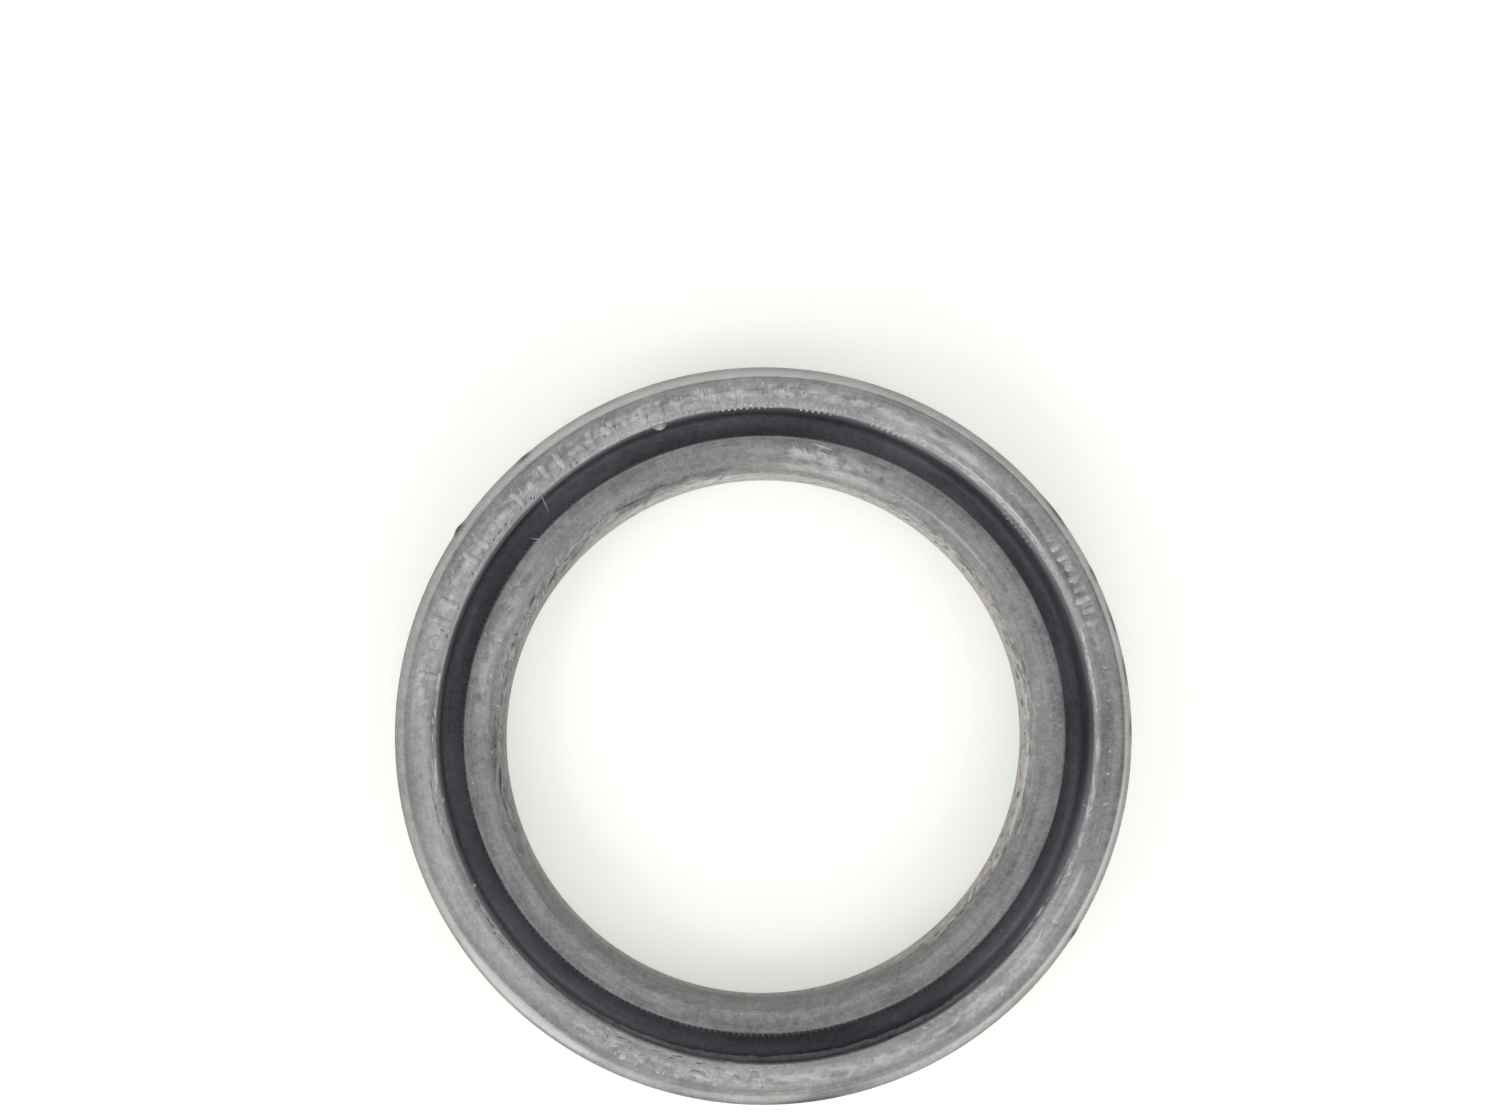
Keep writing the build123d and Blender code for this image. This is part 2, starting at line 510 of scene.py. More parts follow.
# ----------------------------------- moulded body
def in_pin_mark(step, r, z):
    """True for a point of the back face that a pin mark sinks in."""
    spacing = RING_STEPS // PIN_MARKS
    off = (step + spacing // 2) % spacing - spacing // 2
    inside = PIN_MARK_SPAN[0] < r < PIN_MARK_SPAN[1] and z < BACK_FACE_TO
    return inside and abs(off) <= PIN_MARK_HALF_STEPS


def oval(azimuth, size, long_axis):
    """How far an oval stands out of its circle."""
    return size * math.cos(math.radians(2 * (azimuth - long_axis)))


def moved(azimuth, r, z):
    """A point of the section, with the ring's small unevenness."""
    if z > SOFT_HEIGHTS[0] and r < SOFT_TO:
        share = ramp(z, *SOFT_HEIGHTS)
        outer = ramp(r, *SOFT_RADII)
        r += share * outer * oval(azimuth, *HEAD_OVAL)
        r += share * (1 - outer) * oval(azimuth, *LIP_OVAL)
        shift = LIP_SHIFT.lerp(HEAD_SHIFT, outer) * share
    elif z > FIRM_HEIGHTS[0]:
        outer = ramp(r, *FIRM_RADII)
        fading = ramp(FIRM_TO - r, 0, FIRM_FADE) * ramp(z, *FIRM_HEIGHTS)
        r += fading * outer * oval(azimuth, *FACE_OVAL)
        r += fading * (1 - outer) * oval(azimuth, *MOUTH_OVAL)
        shift = MOUTH_SHIFT.lerp(FACE_SHIFT, outer) * fading
    else:
        shift = Vector((0, 0))
    if r > SCRAP_FROM and SCRAP_HEIGHTS[0] < z < SCRAP_HEIGHTS[1]:
        high = hump(z - SCRAP_MIDDLE, SCRAP_HALF_HEIGHT)
        for at, half_angle, stand in SCARS:
            r += stand * hump(turn_between(azimuth, at), half_angle) * high
    p = polar(r, azimuth, z)
    if WAVE_HEIGHTS[0] < z < WAVE_HEIGHTS[1] and r < FIRM_TO:
        p.z += WAVE * MM * ring_noise(azimuth, WAVE_LENGTH, r / 3)
    p.x += shift.x * MM
    p.y += shift.y * MM
    return p


def add_body(skin):
    """The section swept round the ring, with its paint."""
    rows = section_rows()
    points = []
    paint = {key: [] for key in skin.paint}
    for step in range(RING_STEPS):
        azimuth = 360 * step / RING_STEPS
        for r, z, base in rows:
            marked = in_pin_mark(step, r, z)
            points.append(polar(r, azimuth, PIN_MARK_FLOOR) if marked else moved(azimuth, r, z))
            paint["talc"].append(talc_and_light_at(azimuth, r, z, base))
            paint["trim"].append(trim_at(azimuth, r, z))
            paint["blush"].append(hump(turn_between(azimuth, BLUSH_AT), BLUSH_HALF))
            paint["mottled"].append(marked_at(MOTTLED, azimuth, r, z))
            paint["ticked"].append(marked_at(TICKED, azimuth, r, z))
            # the groove's mask, which carries its painted shade tint
            paint["groove"].append(1.0 if groove_side(r, z) else 0.0)
    skin.add(points, ring_faces(RING_STEPS, len(rows)), **paint)


# -------------------------- flash along the mouth
FLASH_STEPS = 2400
FLASH_ROOT = 31.45           # radius at which it grows out of the mouth's edge
FLASH_EDGE = 31.34
FLASH_HEIGHT = 9.47
FLASH_THICKNESS = 0.14
FLASH_REACH, FLASH_LEAST = 0.02, 0.01
FLASH_WAVES = ((0.06, 3.0, 3), (0.05, 0.5, 4))   # size, length in mm, seed
FLASH_RAGGED = 0.08          # how far the mould's teeth draw it out where it is ragged
FLASH_SAG = 0.10             # for each mm that it reaches
FLASH_TALC = 0.45
RAGGED_RIGHT = (236, 330, 10)    # azimuth from, to, and over how many degrees it fades
RAGGED_BELOW, BELOW_SHARE = (0, 180, 20), 0.35
TICK_PITCH = 1.05            # degrees
# Where teeth of the mould show: azimuth from, to, how long, and how much more talc.
TEETH = (
    (262, 271, 0.14, 0.30),
    (276, 282, 0.12, 0.28),
    (289, 294.5, 0.14, 0.30),
    (317, 325, 0.46, -0.06),
)
# Longer scraps: azimuth, half its angle, and how far it reaches into the groove.
SCRAPS = (
    (251.1, 1.25, 0.55),
    (152.8, 0.40, 0.42),
    (168.7, 0.55, 0.22),
    (96.5, 0.9, 0.15),
    (66.0, 2.0, 0.10),
    (350.8, 2.0, 0.14),
)
# A torn strip of flash low on the mouth's wall.
STRIP_STEPS = 720
STRIP_FROM, STRIP_TO = 19.0, 147.0
STRIP_ROOT, STRIP_EDGE = 31.45, 31.26
STRIP_REACH = 0.62
STRIP_WAVES = ((0.12, 4, 7), (0.22, 0.6, 12))
STRIP_HEIGHT = 8.3
STRIP_RISE = 0.9             # how much higher its ends are
STRIP_EDGE_THICKNESS, STRIP_ROOT_THICKNESS = 0.07, 0.22
STRIP_EDGE_TALC, STRIP_TOP_TALC, STRIP_UNDER_TALC = 0.29, 0.20, 0.10
STRIP_TOP_OVER_EDGE = 0.02   # its root's upper side against its edge
STRIP_WHITE_TO = 33.0        # azimuth up to which talc whitens its edge
STRIP_WHITE, STRIP_WHITE_UNEVEN = 0.35, 0.5
STRIP_SHADE = 0.4            # share of the groove's painted shade tint on it


def comb(azimuth):
    """The mould's fine teeth, from 0 to 1."""
    return max(0.0, math.cos(TURN * azimuth / TICK_PITCH) + 0.1) / 1.1


def flash_reach(azimuth):
    """How far the flash stands in from the mouth's edge."""
    reach = FLASH_REACH + waves(azimuth, FLASH_WAVES)
    ragged = max(sector(azimuth, *RAGGED_RIGHT), BELOW_SHARE * sector(azimuth, *RAGGED_BELOW))
    reach += FLASH_RAGGED * ragged * comb(azimuth) * (0.6 + ring_noise(azimuth, 1.1, seed=5))
    for start, end, length, _ in TEETH:
        uneven = 1 + 0.5 * ring_noise(azimuth, 0.7, seed=14)
        reach += length * uneven * sector(azimuth, start, end, 1) * comb(azimuth)
    for at, half_angle, length in SCRAPS:
        reach = max(reach, length * rounded(turn_between(azimuth, at), half_angle))
    return max(0.0, reach) + FLASH_LEAST


def flash_powder(azimuth):
    """Talc on the flash, which its teeth hold more of."""
    powder = FLASH_TALC + 0.15 * ring_noise(azimuth, 2.0, seed=8)
    for at, half_angle, length in SCRAPS:
        powder += 0.35 * length * hump(turn_between(azimuth, at), half_angle)
    for start, end, _, more in TEETH:
        powder += more * sector(azimuth, start, end, 1) * comb(azimuth)
    return powder


def add_flash(skin):
    """A ragged skirt of flash round the mouth, as a thin closed ring."""
    points, talc = [], []
    for step in range(FLASH_STEPS):
        azimuth = 360 * step / FLASH_STEPS
        reach = flash_reach(azimuth)
        tip = FLASH_EDGE - reach
        tip_height = FLASH_HEIGHT - FLASH_SAG * reach - 0.02 * ring_noise(azimuth, 1.5, seed=6)
        powder = flash_powder(azimuth)
        for r, z, share in (                     # share of the talc
            (FLASH_ROOT, FLASH_HEIGHT, 1.0),
            (tip, tip_height, 1.1),
            (tip, tip_height - 0.3 * FLASH_THICKNESS, 0.7),
            (FLASH_ROOT, FLASH_HEIGHT - FLASH_THICKNESS, 0.5),
        ):
            points.append(moved(azimuth, r, z))
            talc.append(powder * share)
    skin.add(points, ring_faces(FLASH_STEPS, 4), talc=talc)


def add_strip(skin):
    """The torn strip, thin and closed, tapering to nothing at both ends."""
    points, talc = [], []
    for step in range(STRIP_STEPS + 1):
        t = step / STRIP_STEPS
        azimuth = STRIP_FROM + (STRIP_TO - STRIP_FROM) * t
        swell = math.sin(math.pi * t) ** 0.8
        reach = STRIP_REACH * swell * (1 + waves(azimuth, STRIP_WAVES))
        z = STRIP_HEIGHT + STRIP_RISE * (1 - swell)
        top = z + STRIP_TOP_OVER_EDGE
        tip = STRIP_EDGE - reach
        white = sector(azimuth, STRIP_FROM, STRIP_WHITE_TO, 10)
        edge = STRIP_EDGE_TALC + white * (
            STRIP_WHITE + STRIP_WHITE_UNEVEN * ring_noise(azimuth, 0.8, seed=13)
        )
        for r, height, powder in (
            (STRIP_ROOT, top, STRIP_TOP_TALC),
            (tip, z, edge),
            (tip, z - STRIP_EDGE_THICKNESS, edge),
            (STRIP_ROOT, top - STRIP_ROOT_THICKNESS, STRIP_UNDER_TALC),
        ):
            points.append(moved(azimuth, r, height))
            talc.append(powder)
    skin.add(points, tube_faces(STRIP_STEPS + 1, 4), talc=talc, groove=STRIP_SHADE)


# Thin whiskers of torn rubber: root azimuth, radius and height, and the tip's.
WHISKERS = (
    ((226.9, 31.35, 9.45), (225.8, 29.75, 9.15)),
    ((220.7, 28.45, 8.90), (219.8, 29.30, 8.80)),
    ((12.6, 31.35, 9.45), (12.2, 30.75, 9.30)),
)
WHISKER_RADIUS = 0.065
WHISKER_TALC = 0.55
WHISKER_SIDES = 5
WHISKER_BEND = 0.6           # share of its length at which it bends up
WHISKER_RISE = 0.04


def add_whisker(skin, root, tip):
    """A whisker that bends a little and tapers to its tip."""
    a, b = (moved(azimuth, r, z) for azimuth, r, z in (root, tip))
    along = (b - a).normalized()
    side = along.orthogonal().normalized()
    over = along.cross(side)
    bend = a.lerp(b, WHISKER_BEND) + Vector((0, 0, WHISKER_RISE * MM))
    stations = ((a, 1.0), (bend, 0.8), (b, 0.3))     # centre, share of the radius
    points = []
    for centre, share in stations:
        for k in range(WHISKER_SIDES):
            t = TURN * k / WHISKER_SIDES
            out = side * math.cos(t) + over * math.sin(t)
            points.append(centre + out * share * WHISKER_RADIUS * MM)
    skin.add(points, tube_faces(len(stations), WHISKER_SIDES), talc=WHISKER_TALC)


# ----------------------- raised marks on the face
# Plain bars, dots and dashes of the mould, in rows: azimuth of the first, degrees
# from one to the next, radius, and the marks.
MARK_ROWS = (
    (92, 3.15, 32.80, "|.|-||.|"),
    (190, 3.15, 32.62, "|-.||"),
    (211, 3.15, 32.66, "||.-|.||-|..|||.||-|"),
    (327.2, 1.95, 32.95, "!!.!!|!!"),
)
# Half sizes, across the ring and along it.
MARK_SIZES = {"|": (0.75, 0.17), "!": (0.48, 0.13), ".": (0.26, 0.26), "-": (0.17, 0.62)}
MARK_SLOPE = 0.17            # how much wider a mark is at its foot
MARK_SUNK = 0.1              # how deep its foot goes into the face
MARK_CORNERS = 12
MARK_TALC, MARK_MOTTLED = 0.72, 0.3


def add_mark(skin, azimuth, radius, kind):
    """One raised mark with a rounded outline and sloping sides."""
    across, along = MARK_SIZES[kind]
    corner = min(across, along)
    points = []
    stations = ((FACE - MARK_SUNK, MARK_SLOPE), (FACE, MARK_SLOPE), (FRONT, 0.0))
    for z, grow in stations:
        for k in range(MARK_CORNERS):
            t = TURN * (k + 0.5) / MARK_CORNERS
            u = math.copysign(across - corner, math.cos(t)) + (corner + grow) * math.cos(t)
            v = math.copysign(along - corner, math.sin(t)) + (corner + grow) * math.sin(t)
            points.append(moved(azimuth + math.degrees(v / radius), radius + u, z))
    clockwise = tube_faces(len(stations), MARK_CORNERS)
    faces = [(face[0], *reversed(face[1:])) for face in clockwise]
    skin.add(points, faces, talc=MARK_TALC, mottled=MARK_MOTTLED)


# ----------------------- chalk strokes and flecks
# Single strokes: from azimuth and radius, to azimuth and radius, width, and
# talc, which is near 0 in a bare scratch.
STROKES = (
    # head of the lip
    (275.3, 27.88, 276.9, 26.93, 0.20, 0.92),
    (277.4, 27.70, 279.6, 26.56, 0.24, 0.92),
    (279.2, 28.15, 283.3, 27.88, 0.24, 0.80),
    (280.7, 27.41, 281.4, 27.00, 0.20, 0.85),
    (281.8, 27.00, 283.6, 26.50, 0.26, 0.76),
    (277.5, 28.05, 279.0, 27.30, 0.18, 0.20),
    (280.2, 27.75, 283.5, 27.45, 0.26, 0.25),
    (192.0, 26.85, 192.4, 26.45, 0.30, 0.85),
    (199.5, 26.95, 199.9, 26.60, 0.28, 0.85),
    (193.9, 27.46, 194.6, 27.00, 0.18, 0.76),
    (189.0, 26.90, 190.0, 27.57, 0.16, 0.74),
    (199.1, 28.15, 200.1, 28.45, 0.12, 0.90),
    (204.0, 27.30, 206.5, 27.10, 0.22, 0.72),
    (170.4, 28.25, 170.7, 28.00, 0.24, 0.78),
    # bevel
    (186.7, 26.00, 186.0, 25.05, 0.17, 0.95),
    (187.0, 25.45, 191.3, 25.55, 0.09, 0.80),
    (187.2, 25.02, 191.6, 25.10, 0.08, 0.80),
    (191.7, 25.50, 193.9, 25.90, 0.14, 0.85),
    (199.5, 25.62, 200.3, 25.50, 0.36, 0.02),
    (201.8, 25.62, 202.6, 25.50, 0.34, 0.02),
    (197.2, 25.10, 199.4, 25.28, 0.12, 0.95),
    (208.8, 24.85, 211.2, 25.20, 0.12, 1.00),
    (212.5, 24.93, 213.6, 25.46, 0.12, 0.95),
    (206.9, 25.45, 207.5, 25.00, 0.12, 0.80),
    (208.5, 25.60, 212.0, 25.75, 0.20, 0.08),
    (168.0, 25.60, 173.6, 25.28, 0.30, 0.02),
    (168.3, 26.00, 175.6, 25.36, 0.10, 0.72),
    (158.7, 25.40, 159.5, 25.22, 0.30, 0.10),
    (160.0, 25.27, 161.9, 26.20, 0.14, 0.68),
    (175.8, 26.00, 177.2, 25.80, 0.20, 0.76),
    (177.4, 25.75, 178.2, 25.55, 0.30, 0.05),
    (176.4, 25.15, 179.3, 25.35, 0.12, 0.80),
    (298.3, 25.46, 300.1, 25.94, 0.12, 0.95),
    (236.0, 25.75, 244.0, 25.55, 0.22, 0.10),
    (214.5, 25.20, 219.0, 25.35, 0.24, 0.10),
    # front face
    (336.8, 34.00, 336.9, 32.35, 0.26, 1.00),
    (325.2, 33.50, 325.4, 32.90, 0.40, 0.66),
    (327.4, 33.45, 327.6, 32.55, 0.46, 0.82),
    (329.1, 33.50, 329.2, 32.75, 0.36, 0.76),
    (330.9, 33.45, 331.0, 32.70, 0.30, 0.74),
    (333.7, 33.20, 333.8, 32.60, 0.30, 0.84),
    (334.7, 33.10, 335.3, 32.40, 0.22, 0.86),
    (338.6, 33.30, 339.0, 32.50, 0.34, 0.78),
    (340.5, 33.30, 340.3, 32.70, 0.24, 0.70),
    (317.6, 32.65, 319.6, 33.50, 0.55, 0.78),
    (32.8, 33.15, 32.9, 32.30, 0.22, 1.05),
    (34.4, 32.00, 38.5, 32.55, 0.34, 0.92),
    (6.4, 33.00, 6.5, 32.50, 0.30, 0.90),
    (11.1, 33.25, 11.9, 32.75, 0.40, 0.80),
    (2.7, 32.95, 2.8, 32.55, 0.36, 0.74),
    (346.0, 33.10, 346.1, 32.65, 0.22, 0.66),
    (349.0, 33.20, 348.6, 32.65, 0.28, 0.84),
    (350.8, 32.90, 351.4, 32.60, 0.20, 0.76),
    (354.2, 33.00, 354.3, 32.60, 0.26, 0.78),
    # mouth's edge
    (152.5, 32.25, 152.9, 31.42, 0.11, 0.95),
    (0.3, 31.66, 4.8, 31.66, 0.40, 1.35),
    (6.4, 31.40, 9.3, 31.62, 0.24, 1.50),
    (8.4, 31.66, 11.8, 31.70, 0.30, 1.20),
    (12.4, 31.40, 14.9, 31.62, 0.24, 1.50),
    (17.8, 31.46, 20.0, 31.68, 0.30, 1.40),
    (303.0, 31.80, 309.0, 31.80, 0.26, 1.25),
    (308.0, 31.82, 316.0, 31.80, 0.28, 1.40),
    (314.5, 31.78, 321.5, 31.78, 0.28, 1.40),
    (320.5, 31.78, 326.5, 31.74, 0.24, 1.15),
    (341.0, 31.66, 345.5, 31.64, 0.24, 1.20),
    (346.0, 31.60, 349.5, 31.60, 0.26, 1.30),
    (350.0, 31.62, 355.0, 31.62, 0.26, 1.30),
)
# Scattered ones: azimuth from, to, radius from, to, how many, shortest, longest,
# width, slant from across the ring and how much it varies, talc.
FLECKS = (
    (241, 277, 32.1, 33.7, 48, 0.3, 0.9, 0.16, 4, 14, 0.92),
    (241, 277, 32.1, 33.7, 16, 0.3, 0.8, 0.20, 4, 14, 0.36),
    (196, 241, 31.9, 33.7, 34, 0.3, 0.8, 0.17, 20, 40, 0.88),
    (196, 241, 31.9, 33.7, 14, 0.4, 0.9, 0.28, 20, 40, 0.40),
    (88, 124, 31.9, 33.6, 32, 0.3, 0.8, 0.18, 20, 40, 0.98),
    (34, 86, 32.0, 33.5, 26, 0.2, 0.7, 0.22, 45, 45, 0.88),
    (88, 124, 32.1, 33.6, 10, 0.4, 0.9, 0.24, 20, 40, 0.42),
    (22, 62, 31.44, 31.74, 40, 0.20, 0.60, 0.22, -65, 20, 1.25),
    (10, 24, 31.46, 31.75, 14, 0.20, 0.50, 0.20, -60, 20, 1.30),
    (342, 6, 31.46, 31.70, 16, 0.3, 0.9, 0.22, 85, 10, 1.25),
    (296, 308, 31.72, 31.95, 12, 0.5, 1.2, 0.18, 88, 5, 1.15),
    (308, 326, 31.50, 31.72, 12, 0.4, 1.0, 0.18, 88, 5, 1.10),
    (82, 100, 31.46, 31.80, 20, 0.2, 0.8, 0.22, 70, 30, 1.25),
    (100, 150, 31.46, 31.75, 30, 0.3, 1.2, 0.15, 86, 5, 1.20),
    (100, 150, 31.56, 31.90, 20, 0.3, 1.0, 0.15, 86, 5, 0.16),
    (163, 190, 31.45, 31.75, 22, 0.5, 1.4, 0.20, 87, 4, 1.25),
    (163, 184, 31.90, 32.15, 9, 0.6, 1.6, 0.14, 88, 4, 0.30),
    (196, 236, 31.46, 31.80, 20, 0.2, 0.7, 0.20, 60, 30, 0.95),
    (196, 236, 31.50, 31.95, 16, 0.3, 0.7, 0.22, 60, 30, 0.30),
    (236, 296, 31.40, 31.75, 46, 0.15, 0.45, 0.15, 0, 18, 1.15),
    (180, 236, 24.9, 26.1, 30, 0.3, 0.9, 0.18, 65, 30, 0.72),
    (180, 262, 25.0, 25.9, 22, 0.5, 1.2, 0.34, 80, 20, 0.38),
    (240, 298, 24.75, 25.1, 30, 0.4, 1.6, 0.08, 87, 4, 1.00),
    (298, 54, 24.75, 25.3, 80, 0.2, 1.0, 0.12, 84, 10, 1.00),
    (298, 54, 24.75, 25.3, 30, 0.3, 0.8, 0.14, 84, 10, 0.30),
    (188, 215, 26.4, 28.2, 22, 0.2, 0.6, 0.16, 25, 30, 0.70),
    (345, 360, 26.2, 28.3, 14, 0.2, 0.5, 0.14, 45, 45, 0.74),
    (0, 360, 26.4, 28.4, 50, 0.1, 0.3, 0.09, 45, 60, 0.74),
    (0, 360, 31.8, 33.9, 60, 0.1, 0.3, 0.09, 45, 60, 0.80),
)
STROKE_STATIONS = 5
STROKE_ENDS = 0.25           # width at its ends, as a share of its middle's
# Corners of a stroke's section: place across it, height over the surface, and how
# much of its talc lies there.
STROKE_SECTION = ((-1, -0.002, 0.5), (0, 0.005, 1), (1, -0.002, 0.5), (0, -0.03, 0))
SURFACE_TALC = 0.5           # that a stroke's sides fade into
FLECK_SEED = 11
WHOLE_TURN = 360.001         # just over 360, so that 0 to 360 isn't taken for nothing
FLECK_WIDTHS = (0.7, 1.3)    # narrowest and broadest, as shares of the width given
FLECK_OVER = 0.1             # how far past its place a fleck may reach


def front_height(r, rows):
    """Height of the body's front surface at a radius."""
    heights = [
        za + (zb - za) * (r - ra) / (rb - ra)
        for (ra, za, _), (rb, zb, _) in zip(rows, rows[1:])
        if ra != rb and min(ra, rb) <= r <= max(ra, rb)
    ]
    return max(heights)


def add_stroke(skin, rows, start, end, width, talc):
    """A low ridge on the front surface, faint along its sides and at its ends."""
    (a0, r0), (a1, r1) = start, end
    dv, du = math.radians(turn_between(a1, a0)) * (r0 + r1) / 2, r1 - r0
    length = math.hypot(du, dv)
    side_u, side_v = -dv / length, du / length
    points, powder = [], []
    for i in range(STROKE_STATIONS):
        t = i / (STROKE_STATIONS - 1)
        swell = math.sin(math.pi * t)
        half = width / 2 * (STROKE_ENDS + (1 - STROKE_ENDS) * swell)
        for across, lift, share in STROKE_SECTION:
            r = r0 + du * t + side_u * half * across
            azimuth = a0 + math.degrees((dv * t + side_v * half * across) / r)
            z = min(FRONT, front_height(r, rows) + lift)
            points.append(moved(azimuth, r, z))
            around = talc_and_light_at(azimuth, r, z, SURFACE_TALC)
            powder.append(around + (talc - around) * share * (1 + swell) / 2)
    faces = tube_faces(STROKE_STATIONS, len(STROKE_SECTION))
    skin.add(points, faces, smooth=False, talc=powder)


def add_flecks(skin, rows):
    """The single strokes, then the scattered ones."""
    for a0, r0, a1, r1, width, talc in STROKES:
        add_stroke(skin, rows, (a0, r0), (a1, r1), width, talc)
    chance = random.Random(FLECK_SEED)
    for start, end, low, high, count, shortest, longest, width, slant, spread, talc in FLECKS:
        for _ in range(count):
            azimuth = start + (end - start) % WHOLE_TURN * chance.random()
            r = chance.uniform(low, high)
            half = chance.uniform(shortest, longest) / 2
            turn = math.radians(slant + spread * chance.uniform(-1, 1))
            du, dv = half * math.cos(turn), math.degrees(half * math.sin(turn) / r)
            du = min(du, high + FLECK_OVER - r, r - low + FLECK_OVER)
            broad = width * chance.uniform(*FLECK_WIDTHS)
            add_stroke(skin, rows, (azimuth - dv, r - du), (azimuth + dv, r + du), broad, talc)


def make_body():
    """The moulded body with all its flash, marks and strokes."""
    skin = Skin()
    add_body(skin)
    add_flash(skin)
    add_strip(skin)
    for root, tip in WHISKERS:
        add_whisker(skin, root, tip)
    for start, pitch, radius, kinds in MARK_ROWS:
        for i, kind in enumerate(kinds):
            add_mark(skin, start + pitch * i, radius, kind)
    add_flecks(skin, section_rows())
    return skin.made("seal_body_moulded")


# ---------------------------------- garter spring
SPRING_RADIUS = 27.935
SPRING_HEIGHT = COIL_GROOVE[1]
COIL_RADIUS = 1.0
WIRE_RADIUS = 0.24
WINDINGS = 316
WINDING_STEPS = 14
WIRE_SIDES = 6


def spring_point(turn):
    """Centre of the wire after so many windings, and the coil's centre there, in mm."""
    a = TURN * turn / WINDINGS
    w = TURN * turn
    helix = COIL_RADIUS - WIRE_RADIUS
    middle = Vector((SPRING_RADIUS * math.cos(a), -SPRING_RADIUS * math.sin(a), SPRING_HEIGHT))
    outwards = Vector((math.cos(a), -math.sin(a), 0))
    return middle + (outwards * math.cos(w) + Vector((0, 0, math.sin(w)))) * helix, middle


def make_spring():
    """The wire, swept along a closed helix."""
    steps = WINDINGS * WINDING_STEPS
    points = []
    for step in range(steps):
        here, middle = spring_point(step / WINDING_STEPS)
        ahead, _ = spring_point((step + 1) / WINDING_STEPS)
        behind, _ = spring_point((step - 1) / WINDING_STEPS)
        out = (here - middle).normalized()
        side = (ahead - behind).normalized().cross(out)
        for k in range(WIRE_SIDES):
            t = TURN * k / WIRE_SIDES
            points.append((here + (out * math.cos(t) + side * math.sin(t)) * WIRE_RADIUS) * MM)
    return make_mesh("garter_spring_wound", points, ring_faces(steps, WIRE_SIDES))


# -------------------------------------- materials
class Graph:
    """Nodes of one material or world, with short names for those that are used often."""

    def __init__(self, owner):
        owner.use_nodes = True
        self.owner, self.tree = owner, owner.node_tree
        self.tree.nodes.clear()

    def put(self, socket, value):
        if isinstance(value, bpy.types.NodeSocket):
            self.tree.links.new(value, socket)
        else:
            socket.default_value = value

    def node(self, kind, settings=(), **inputs):
        node = self.tree.nodes.new(kind)
        for key, value in dict(settings).items():
            setattr(node, key, value)
        for key, value in inputs.items():
            self.put(node.inputs[key.replace("_", " ")], value)
        return node

    def math(self, operation, *values, clamp=False):
        node = self.node("ShaderNodeMath", {"operation": operation, "use_clamp": clamp})
        for socket, value in zip(node.inputs, values):
            self.put(socket, value)
        return node.outputs[0]

    def vector(self, operation, *values):
        node = self.node("ShaderNodeVectorMath", {"operation": operation})
        for socket, value in zip(node.inputs, values):
            self.put(socket, value)
        return node.outputs["Value" if operation == "LENGTH" else "Vector"]

    def combine(self, x, y, z):
        return self.node("ShaderNodeCombineXYZ", X=x, Y=y, Z=z).outputs[0]

    def noise(self, vector, scale=1.0, detail=3.0, roughness=0.55):
        node = self.node(
            "ShaderNodeTexNoise", Vector=vector, Scale=scale, Detail=detail, Roughness=roughness
        )
        return node.outputs["Fac"]

    def about_zero(self, value, gain):
        """A noise value with its middle at 0, times gain."""
        return self.math("MULTIPLY", self.math("SUBTRACT", value, 0.5), gain)

    def total(self, *values):
        result = values[0]
        for value in values[1:]:
            result = self.math("ADD", result, value)
        return result

    def window(self, value, low, high, to_low=0.0, to_high=1.0):
        node = self.node(
            "ShaderNodeMapRange",
            {"interpolation_type": "SMOOTHSTEP"},
            Value=value, From_Min=low, From_Max=high, To_Min=to_low, To_Max=to_high,
        )
        return node.outputs[0]

    def mix(self, factor, a, b, blend="MIX"):
        node = self.node("ShaderNodeMix", {"data_type": "RGBA", "blend_type": blend})
        self.put(node.inputs[0], factor)
        self.put(node.inputs[6], a)
        self.put(node.inputs[7], b)
        return node.outputs[2]

    def attribute(self, name):
        return self.node("ShaderNodeAttribute", {"attribute_name": name}).outputs["Fac"]

    def surface(self, shader, kind="Material"):
        self.node("ShaderNodeOutput" + kind, Surface=shader)
        return self.owner


HEIGHT_OVER_RADIUS = 1.37    # how much a mm of height counts for, against one of radius


class RingPlace:
    """Object coordinates in mm, and ones that follow the ring without a seam."""

    def __init__(self, g):
        self.g = g
        place = g.node("ShaderNodeTexCoord").outputs["Object"]
        self.place = g.vector("MULTIPLY", place, (1000.0, 1000.0, 1000.0))
        parts = g.node("ShaderNodeSeparateXYZ", Vector=self.place)
        flat = g.combine(parts.outputs[0], parts.outputs[1], 0.0)
        radius = g.vector("LENGTH", flat)
        self.direction = g.vector("NORMALIZE", flat)
        height = g.math("MULTIPLY", parts.outputs[2], HEIGHT_OVER_RADIUS)
        self.over = g.math("ADD", radius, height)

    def stretched(self, along, across, slant=0.0):
        """A vector whose noise has features of the given sizes in mm, round the ring and over it.

        The slant turns them by that many degrees round the ring for each mm over it.
        """
        g, direction = self.g, self.direction
        if slant:
            angle = g.math("MULTIPLY", self.over, math.radians(slant))
            direction = g.node(
                "ShaderNodeVectorRotate", {"rotation_type": "Z_AXIS"}, Vector=direction, Angle=angle
            ).outputs[0]
        ring = g.vector("SCALE", direction)
        ring.node.inputs["Scale"].default_value = NOISE_RADIUS / along
        return g.vector("ADD", ring, g.combine(0.0, 0.0, g.math("DIVIDE", self.over, across)))


